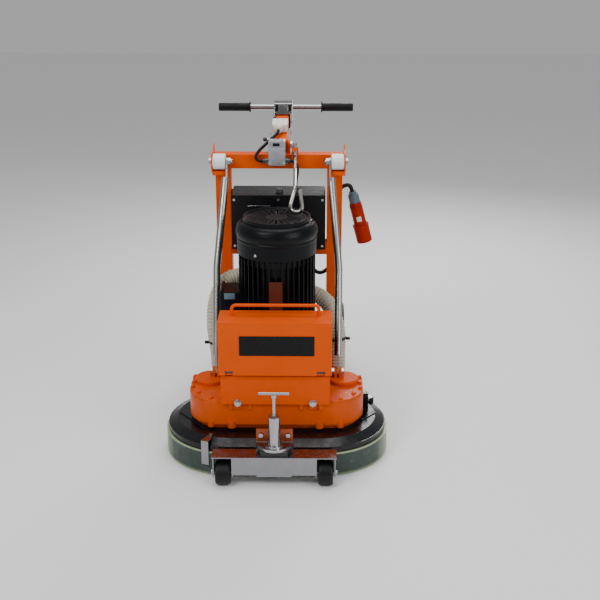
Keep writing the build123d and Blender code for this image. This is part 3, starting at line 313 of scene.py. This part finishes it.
def make_materials():
    """Every finish, by the name of the material slot that it gives its look to."""
    return {
        "orange_paint": surface("orange_paint", ORANGE, rough=0.34, patch=0.10, patch_scale=9.0, grain=380.0,
                                grain_depth=0.00025, grain_strength=0.25, edge=(0.72, 0.14, 0.0),
                                edge_radius=0.0022, shine=0.06),
        "casting_paint": surface("casting_paint", (0.62, 0.075, 0.0), rough=0.34, patch=0.2, patch_scale=16.0,
                                 grain=150.0, grain_depth=0.0011, grain_strength=0.55, edge=(0.72, 0.15, 0.0),
                                 edge_radius=0.004, coat=0.0, shine=0.14),
        "black_paint": surface("black_paint", (0.0035, 0.004, 0.005), rough=0.24, patch=0.3, grain=260.0,
                               grain_depth=0.0004, edge=(0.05, 0.05, 0.06), edge_radius=0.002, shine=0.32,
                               dirt=(0.014, 0.014, 0.013)),
        "motor_black": surface("motor_black", (0.0028, 0.0034, 0.0045), rough=0.34, patch=0.3, grain=320.0,
                               grain_depth=0.0003, edge=(0.02, 0.02, 0.024), edge_radius=0.0018, shine=0.16),
        "cabinet_paint": surface("cabinet_paint", (0.0035, 0.0035, 0.0045), rough=0.4, patch=0.2, grain=900.0,
                                 grain_depth=0.0002, edge=(0.07, 0.07, 0.08), edge_radius=0.0016, shine=0.22),
        "black_plastic": surface("black_plastic", (0.004, 0.004, 0.0045), rough=0.4, grain=1200.0,
                                 grain_depth=0.0001, edge=(0.03, 0.03, 0.03), edge_radius=0.001, shine=0.25),
        "plate_black": surface("plate_black", (0.003, 0.003, 0.0035), rough=0.3, patch=0.2, grain=1500.0,
                               grain_depth=0.00005, edge=(0.4, 0.4, 0.4), edge_radius=0.0006, shine=0.2),
        "cast_iron": surface("cast_iron", (0.11, 0.11, 0.115), metal=0.7, rough=0.6, patch=0.25, grain=240.0,
                             grain_depth=0.0008, grain_strength=0.6),
        "stainless": brushed("stainless", (0.29, 0.295, 0.31), "x"),
        "stainless_mast": brushed("stainless_mast", (0.14, 0.135, 0.14), "y", 0.25),
        "satin_tube": brushed("satin_tube", (0.36, 0.36, 0.345), "z", 0.30),
        "hook_steel": brushed("hook_steel", (0.42, 0.405, 0.39), "z", 0.24),
        "chrome": surface("chrome", (0.42, 0.42, 0.44), metal=1.0, rough=0.12, patch=0.05, grain=120.0,
                          grain_depth=0.0001, grain_strength=0.15, edge_radius=0.001),
        "zinc": surface("zinc", (0.42, 0.44, 0.46), metal=1.0, rough=0.26, patch=0.12, grain=500.0,
                        grain_depth=0.0002, edge_radius=0.0008),
        "ground_steel": surface("ground_steel", (0.5, 0.5, 0.52), metal=1.0, rough=0.25, grain=800.0,
                                grain_depth=0.0001),
        "gear_steel": surface("gear_steel", (0.42, 0.42, 0.43), metal=1.0, rough=0.3, patch=0.15, grain=600.0,
                              grain_depth=0.0002, dirt=(0.10, 0.07, 0.03)),
        "aluminium": surface("aluminium", (0.38, 0.39, 0.42), metal=0.75, rough=0.45, patch=0.1, grain=700.0,
                             grain_depth=0.0004, grain_strength=0.5, edge=(0.75, 0.75, 0.77), edge_radius=0.0016),
        "brass": surface("brass", (0.74, 0.57, 0.24), metal=1.0, rough=0.25, grain=600.0, grain_depth=0.0001),
        "hose": surface("hose", (0.52, 0.46, 0.36), rough=0.5, patch=0.16, patch_scale=30.0, grain=500.0,
                        grain_depth=0.0003, edge_radius=0.0, dirt=(0.42, 0.38, 0.31)),
        "grip_rubber": surface("grip_rubber", (0.003, 0.003, 0.003), rough=0.5, grain=1100.0,
                               grain_depth=0.0003, edge_radius=0.0, shine=0.2),
        "cable_rubber": surface("cable_rubber", (0.003, 0.003, 0.003), rough=0.42, grain=900.0,
                                grain_depth=0.0002, edge_radius=0.0, shine=0.25),
        "white_plastic": surface("white_plastic", (0.72, 0.71, 0.67), rough=0.42, patch=0.06, grain=900.0,
                                 grain_depth=0.0001, edge=(0.8, 0.8, 0.78), edge_radius=0.002,
                                 dirt=(0.55, 0.53, 0.48)),
        "red_plastic": surface("red_plastic", (0.33, 0.014, 0.001), rough=0.36, patch=0.1, grain=900.0,
                               grain_depth=0.0001, edge=(0.45, 0.05, 0.01), edge_radius=0.0015, shine=0.12),
        "green_plastic": surface("green_plastic", (0.02, 0.30, 0.08), rough=0.3, grain=900.0, grain_depth=0.0001),
        "blue_plastic": surface("blue_plastic", (0.085, 0.145, 0.195), rough=0.35, patch=0.12, grain=900.0,
                                grain_depth=0.0001, edge=(0.2, 0.3, 0.36), edge_radius=0.0012),
        "nylon": surface("nylon", (0.80, 0.82, 0.83), rough=0.35, patch=0.05, grain=700.0, grain_depth=0.0002,
                         edge_radius=0.002, dirt=(0.6, 0.6, 0.58)),
        "tyre": surface("tyre", (0.014, 0.014, 0.014), rough=0.6, patch=0.25, grain=420.0, grain_depth=0.0006,
                        grain_strength=0.5, edge_radius=0.0, dirt=(0.07, 0.065, 0.06)),
        "hub_grey": surface("hub_grey", (0.33, 0.33, 0.34), metal=0.6, rough=0.4, patch=0.1, grain=500.0,
                            grain_depth=0.0003, edge=(0.5, 0.5, 0.5), edge_radius=0.002),
        "wheel_rubber": surface("wheel_rubber", (0.004, 0.004, 0.0045), rough=0.45, patch=0.25, grain=500.0,
                                grain_depth=0.0004, edge_radius=0.0, dirt=(0.02, 0.02, 0.019), shine=0.28),
        # Painted reflection: behind 38 mm back of the deck's centre the bracket is dark red-brown, dark steel with
        # the orange box's reflection painted in.
        "bracket_paint_and_reflection": two_tone("bracket_paint_and_reflection", ORANGE, (0.085, 0.022, 0.014), [("Y", True, deck(0, -38, 0).y)],
                                  rough=0.36, shine=0.06),
        "gland_mix": two_tone("gland_mix", (0.74, 0.57, 0.24), (0.06, 0.06, 0.065), [("Z", True, 0.890)],
                              metal=(1.0, 0.2), rough=0.3),
        "knob_mix": two_tone("knob_mix", (0.55, 0.56, 0.58), (0.012, 0.012, 0.013), [("X", False, -0.0475)],
                             metal=(1.0, 0.0), rough=0.35),
        # Painted shade: the mount's upper rear plate is orange paint darkened to brown, as it looked in shade.
        "mount_chrome_and_shaded_orange": two_tone("mount_chrome_and_shaded_orange", (0.42, 0.42, 0.44), (0.34, 0.060, 0.012),
                              [("Y", True, deck(0, -257, 0).y), ("Z", True, 0.142)], metal=(1.0, 0.55), rough=0.2),
        # Painted shade: the band from 112.5 to 129.2 mm up is black, where the carrier's underside lay in shade.
        "carrier_steel_and_shade_band": two_tone("carrier_steel_and_shade_band", (0.29, 0.295, 0.31), (0.006, 0.006, 0.006),
                                [("Z", True, 0.1125), ("Z", False, 0.1292)], metal=(1.0, 0.0), rough=0.26),
        "wheel_mix": two_tone("wheel_mix", (0.40, 0.40, 0.41), (0.014, 0.014, 0.014), [("R", True, 0.112)],
                              metal=(0.5, 0.0), rough=0.5, radius_about=(deck(0, 645, 0).y, 0.170)),
        "skirt_rubber": skirt_rubber(),
        "disc_steel": disc_steel(),
    }


# ---------------------------------------------------------------- mesh helpers

def placed(name, mesh, mat, body):
    """Make a piece of a mesh that is already in place, give it its finish and let it ride on a body."""
    piece = bpy.data.objects.new(name, mesh)
    bpy.context.scene.collection.objects.link(piece)
    mesh.materials.append(mat)
    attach(piece, body)
    return piece


def from_bmesh(name, bm, smooth=math.radians(35)):
    """A mesh from a bmesh, with outward normals and smooth shading that stops at sharp edges."""
    bmesh.ops.recalc_face_normals(bm, faces=bm.faces)
    for edge in bm.edges:
        edge.smooth = len(edge.link_faces) == 2 and edge.calc_face_angle(0.0) < smooth
    for face in bm.faces:
        face.smooth = True
    mesh = bpy.data.meshes.new(name)
    bm.to_mesh(mesh)
    bm.free()
    return mesh


def turned(name, profile, base, along, steps=48):
    """A closed body of revolution: profile is (radius, height) pairs, going up from base in the direction along."""
    aim = Vector(along).to_track_quat("Z", "Y").to_matrix().to_4x4()
    put = Matrix.Translation(Vector(base)) @ aim
    bm = bmesh.new()
    rings = []
    for radius, height in profile:
        if radius < 1e-6:
            rings.append([bm.verts.new(put @ Vector((0, 0, height)))])
            continue
        turn = [2 * math.pi * i / steps for i in range(steps)]
        rings.append([bm.verts.new(put @ Vector((radius * math.cos(a), radius * math.sin(a), height)))
                      for a in turn])
    for low, high in zip(rings, rings[1:]):
        for i in range(steps):
            j = (i + 1) % steps
            corners = [low[i % len(low)], low[j % len(low)], high[j % len(high)], high[i % len(high)]]
            unique = list(dict.fromkeys(corners))
            if len(unique) > 2:
                bm.faces.new(unique)
    for end in (rings[0], rings[-1]):
        if len(end) > 1:
            bm.faces.new(end)
    return from_bmesh(name, bm)


def rounded_box(name, size, place, turn=None, radius=0.001, steps=2):
    """A box with rounded edges, centred on place."""
    bm = bmesh.new()
    bmesh.ops.create_cube(bm, size=1.0)
    bmesh.ops.scale(bm, vec=Vector(size), verts=bm.verts)
    bmesh.ops.bevel(bm, geom=bm.edges[:], offset=radius, segments=steps, profile=0.5, affect="EDGES")
    spin = turn.to_4x4() if turn else Matrix.Identity(4)
    bmesh.ops.transform(bm, matrix=Matrix.Translation(Vector(place)) @ spin, verts=bm.verts)
    return from_bmesh(name, bm, math.radians(50))


def frames_along(points):
    """Each point with two directions square to the path, carried along it without twist."""
    tangents = []
    for i, point in enumerate(points):
        ahead = points[min(i + 1, len(points) - 1)] - points[max(i - 1, 0)]
        tangents.append(ahead.normalized())
    side = tangents[0].orthogonal().normalized()
    result = []
    for point, tangent in zip(points, tangents):
        side = (side - tangent * side.dot(tangent)).normalized()
        result.append((point, side, tangent.cross(side)))
    return result


def hose_along(name, points, radius_at, steps=28):
    """A closed tube around a path, whose radius is a function of the distance run along it."""
    bm = bmesh.new()
    rings = []
    run = 0.0
    before = points[0]
    for point, side, up in frames_along(points):
        run += (point - before).length
        before = point
        radius = radius_at(run)
        rings.append([bm.verts.new(point + radius * (math.cos(2 * math.pi * i / steps) * side
                                                     + math.sin(2 * math.pi * i / steps) * up))
                      for i in range(steps)])
    for low, high in zip(rings, rings[1:]):
        for i in range(steps):
            j = (i + 1) % steps
            bm.faces.new((low[i], low[j], high[j], high[i]))
    bm.faces.new(rings[0])
    bm.faces.new(rings[-1])
    return from_bmesh(name, bm, math.radians(60))


# ---------------------------------------------------------------- cords and hoses

HOSE_RIGHT = [(228, 188, 180), (228, 188, 290), (231, 200, 390), (203, 238, 480), (137, 280.1, 518),
              (82.7, 299.9, 518)]
HOSE_LEFT = [(-228, 188, 180), (-228, 188, 290), (-247, 194, 405), (-240, 216, 510), (-203, 254, 577),
             (-142, 278.3, 585), (-82.7, 299.9, 585)]
OPERATOR_CABLE = [(-3, 465.6, 1113.8), (-3, 446.3, 1108.8), (-20, 424, 1096), (-48, 402, 1074), (-76, 386, 1050),
                  (-89, 378, 1030), (-82, 375, 1013), (-58, 375, 1013)]
LINK_CABLE = [(44, 375, 1013), (60, 375, 1013), (72, 368, 998), (73, 358, 972), (67, 350, 946), (67, 350, 917)]
LEAD = [(120, 400, 665), (120, 400, 606), (136, 430, 555), (166, 466, 531), (200, 482, 551), (217, 480, 610),
        (221, 478, 680), (217, 477, 755), (217, 477, 812), (224, 478, 856), (242, 479, 886), (268, 479, 897),
        (281.5, 479, 890), (287, 480, 869)]


def route_curve(name, route, smooth_steps=24):
    """One open NURBS spline on a route given in millimetres from the deck's centre."""
    curve = bpy.data.curves.new(name, "CURVE")
    curve.dimensions = "3D"
    spline = curve.splines.new("NURBS")
    spline.points.add(len(route) - 1)
    for point, spot in zip(spline.points, route):
        point.co = (*deck(*spot), 1.0)
    spline.order_u = 3
    spline.use_endpoint_u = True
    curve.resolution_u = smooth_steps
    curve.use_fill_caps = True
    thing = bpy.data.objects.new(name, curve)
    bpy.context.scene.collection.objects.link(thing)
    return thing


def route_points(route, smooth_steps=24):
    """The points that the NURBS spline on this route runs through, read from Blender's own curve."""
    guide = route_curve("guide", route, smooth_steps)
    bpy.context.view_layer.update()
    mesh = bpy.data.meshes.new_from_object(guide)
    points = [vertex.co.copy() for vertex in mesh.vertices]
    bpy.data.objects.remove(guide)
    bpy.data.meshes.remove(mesh)
    return points


def evenly(points, gap):
    """The same path, with a point every gap metres."""
    result = [points[0]]
    left = gap
    for start, end in zip(points, points[1:]):
        length = (end - start).length
        while length > left:
            start = start.lerp(end, left / length)
            result.append(start)
            length = (end - start).length
            left = gap
        left -= length
    if (result[-1] - points[-1]).length > gap / 2:
        result.append(points[-1])
    return result


def path_length(points):
    return sum((b - a).length for a, b in zip(points, points[1:]))


def cord_piece(name, route, radius, mat, body, node):
    """A round cord on a curve, in place of its plain CAD solid."""
    piece = route_curve(name, route)
    piece.data.bevel_depth = radius
    piece.data.bevel_resolution = 6
    piece.data.materials.append(mat)
    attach(piece, body)
    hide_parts(node)
    return piece


def corrugated_hose(name, route, radius, mats):
    """A ribbed suction hose with a smooth cuff and a worm-drive clamp at each end."""
    points = evenly(route_points(route, 40), 0.0012)
    whole = path_length(points)
    pitch = 0.0125
    cuff = 0.032

    def rib(run):
        inner = min(run, whole - run)
        if inner < cuff:
            return radius * 0.985
        groove = abs(math.sin(math.pi * (run - cuff) / pitch)) ** 0.55
        return radius - 0.0050 * (1 - groove)

    mesh = hose_along(name, points, rib, 40)
    hose = placed(name, mesh, mats["hose"], "frame")
    for label, place, ahead in (("low", points[0], points[30]), ("high", points[-1], points[-30])):
        way = (ahead - place).normalized()
        at = place + way * 0.012
        band = [(radius + 0.0006, 0), (radius + 0.0018, 0.0006), (radius + 0.0018, 0.0114), (radius + 0.0006, 0.012)]
        placed(f"{name}_clamp_{label}", turned(f"{name}_clamp_{label}", band, at, way), mats["zinc"], "frame")
    return hose


def hoses_and_cords(mats):
    right = corrugated_hose("hose_right", HOSE_RIGHT, 0.032, mats)
    left = corrugated_hose("hose_left", HOSE_LEFT, 0.032, mats)
    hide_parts("dust_hoses")
    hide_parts("dust_hoses")

    link = cord_piece("link_cable_curve", LINK_CABLE, 0.006, mats["cable_rubber"], "frame",
                      "link_cable")
    link_points = route_points(LINK_CABLE)

    lead = cord_piece("power_lead_curve", LEAD, 0.008, mats["cable_rubber"], "frame", "power_lead")
    lead_points = route_points(LEAD)

    cable_points = evenly(route_points(OPERATOR_CABLE), 0.002)
    cable_mesh = hose_along("operator_cable_tube", cable_points, lambda run: 0.006, 20)
    cable = bpy.data.objects.new("operator_cable_tube", cable_mesh)
    bpy.context.scene.collection.objects.link(cable)
    cable_mesh.materials.append(mats["cable_rubber"])
    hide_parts("operator_cable")
    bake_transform(cable)
    print("cord lengths", path_length(link_points), path_length(lead_points), path_length(cable_points))


# ---------------------------------------------------------------- finishes of the CAD nodes

def dress_nodes(mats):
    """Give every CAD node the finish of its slot, with the few nodes that differ from their slot."""
    slot_of = {part["node"]: part["material_slot"] for part in frame["record"]["subparts"]}
    special = {"gearbox_casting": "casting_paint", "gearbox_base": "casting_paint",
               "mast_slide": "stainless_mast", "mast_clamp": "stainless_mast",
               "struts": "satin_tube", "cable_hook": "hook_steel", "front_bracket": "bracket_paint_and_reflection",
               "cable_glands": "gland_mix", "clamp_knob": "knob_mix",
               "dolly_mount": "mount_chrome_and_shaded_orange", "dolly_carrier": "carrier_steel_and_shade_band",
               "rear_wheel_left": "wheel_mix", "rear_wheel_right": "wheel_mix"}
    for name, node in frame["nodes"].items():
        finish = mats[special.get(name, slot_of[name])]
        slots = node.material_slots
        if not slots:
            node.data.materials.append(finish)
        for slot in slots:
            slot.material = finish


# ---------------------------------------------------------------- fine detail

def on_mast(x, along, high):
    """A point in the mast's own millimetres: across, along from its pivot, and above its middle."""
    up = Vector((0.0, -math.sin(MAST_TILT), math.cos(MAST_TILT)))
    return MAST_PIVOT + Vector((x / 1000, 0, 0)) + MAST_WAY * (along / 1000) + up * (high / 1000)


def grip_rings(mats):
    """Shallow ribs round both rubber grips."""
    for side, label in ((-1, "left"), (1, "right")):
        for i in range(9):
            x = 10 + side * (160 + 12 * i)
            ring = [(0.0160, -0.0022), (0.0172, -0.0010), (0.0172, 0.0010), (0.0160, 0.0022)]
            mesh = turned("grip_ring", ring, on_mast(x, 351, 0), (1, 0, 0))
            placed(f"grip_ring_{label}_{i}", mesh, mats["grip_rubber"], "slide")


def plug_trim(mats):
    """The plug's blank label, its collar's ridges and the rib round its body."""
    top, end = deck(287, 480, 869), deck(341, 490, 662)
    way = (end - top).normalized()
    aim = way.to_track_quat("Z", "X").to_matrix()
    side = way.cross(Vector((0, 1, 0))).normalized()
    front = side.cross(way).normalized()
    front = front if front.y < 0 else -front
    turn = Matrix((side, front, way)).transposed()
    label = rounded_box("plug_label", (0.019, 0.0016, 0.021), top + way * 0.112 + front * 0.0243, turn, 0.0006)
    placed("plug_label", label, mats["white_plastic"], "frame")
    for i in range(12):
        angle = 2 * math.pi * i / 12
        out = side * math.cos(angle) + front * math.sin(angle)
        across = way.cross(out)
        turn = Matrix((across, out, way)).transposed()
        ridge = rounded_box("ridge", (0.0030, 0.0022, 0.030), top + way * 0.029 + out * 0.0203, turn, 0.0008)
        placed(f"plug_collar_ridge_{i}", ridge, mats["blue_plastic"], "frame")
    ring = [(0.0228, -0.002), (0.0262, -0.0008), (0.0262, 0.0008), (0.0228, 0.002)]
    for i, run in enumerate((0.056, 0.064)):
        placed(f"plug_ring_{i}", turned("plug_ring", ring, top + way * run, way), mats["red_plastic"], "frame")


def motor_trim(mats):
    """The cowl's fixing screws."""
    middle = deck(0, 120, 0)
    for i, degrees in enumerate((-120, 30, 90, 150)):
        out = Vector((math.cos(math.radians(degrees)), math.sin(math.radians(degrees)), 0))
        at = Vector((middle.x, middle.y, 0.752)) + out * 0.1455
        screw = [(0.0058, -0.001), (0.0058, 0.0020), (0.0040, 0.0034), (0, 0.0036)]
        placed(f"cowl_screw_{i}", turned("cowl_screw", screw, at, out, 24), mats["zinc"], "frame")


def box_trim(mats):
    """Thin parts on the boxes: the cabinet's bright strip, a blue-grey plate that paints a highlight on the terminal
    box, the junction box lid.
    """
    strip = rounded_box("cabinet_strip", (0.088, 0.0014, 0.0022), deck(-73, 299.4, 856), radius=0.0004)
    placed("cabinet_strip", strip, mats["zinc"], "frame")
    # Painted highlight: a blue-grey plate in place of the bluish highlight on the dark terminal box.
    plate = rounded_box("terminal_box_highlight_plate", (0.040, 0.0016, 0.023), deck(-174, 61.4, 575), radius=0.0004)
    placed("terminal_box_highlight_plate", plate, mats["blue_plastic"], "frame")
    lid = rounded_box("junction_lid", (0.058, 0.0020, 0.064), deck(-6, 348.2, 1036), radius=0.0008)
    placed("junction_lid", lid, mats["aluminium"], "frame")
    # Painted shade: a thin black piece in place of the dark hole in the junction box.
    slot = rounded_box("junction_hole_shade", (0.026, 0.0016, 0.012), deck(-8, 348.4, 1081), radius=0.0007)
    placed("junction_hole_shade", slot, mats["black_plastic"], "frame")
    for i, (x, z) in enumerate(((-31, 1008), (19, 1008), (-31, 1064), (19, 1064))):
        screw = [(0.0030, 0), (0.0030, 0.0012), (0.0018, 0.0020), (0, 0.0021)]
        placed(f"junction_screw_{i}", turned("junction_screw", screw, deck(x, 347.3, z), (0, -1, 0), 20),
               mats["zinc"], "frame")


def hose_ties(mats):
    """The black tie that holds each hose to its strut, with its tail standing out."""
    for label, side, x, z in (("left", -1, 236, 341), ("right", 1, 229.5, 360)):
        band = [(0.0318, 0), (0.0334, 0.0006), (0.0334, 0.0070), (0.0318, 0.0076)]
        mesh = turned("hose_tie", band, deck(side * x, 191, z - 3.8), (side * -0.05, 0.05, 1))
        placed(f"hose_tie_{label}", mesh, mats["black_plastic"], "frame")
        tail = rounded_box("hose_tail", (0.017, 0.010, 0.011), deck(side * (x + 40), 189, z), radius=0.002)
        placed(f"hose_tail_{label}", tail, mats["black_plastic"], "frame")


def main():
    camera_and_light()
    floor()
    mats = make_materials()
    dress_nodes(mats)
    hoses_and_cords(mats)
    grip_rings(mats)
    plug_trim(mats)
    motor_trim(mats)
    box_trim(mats)
    hose_ties(mats)


main()
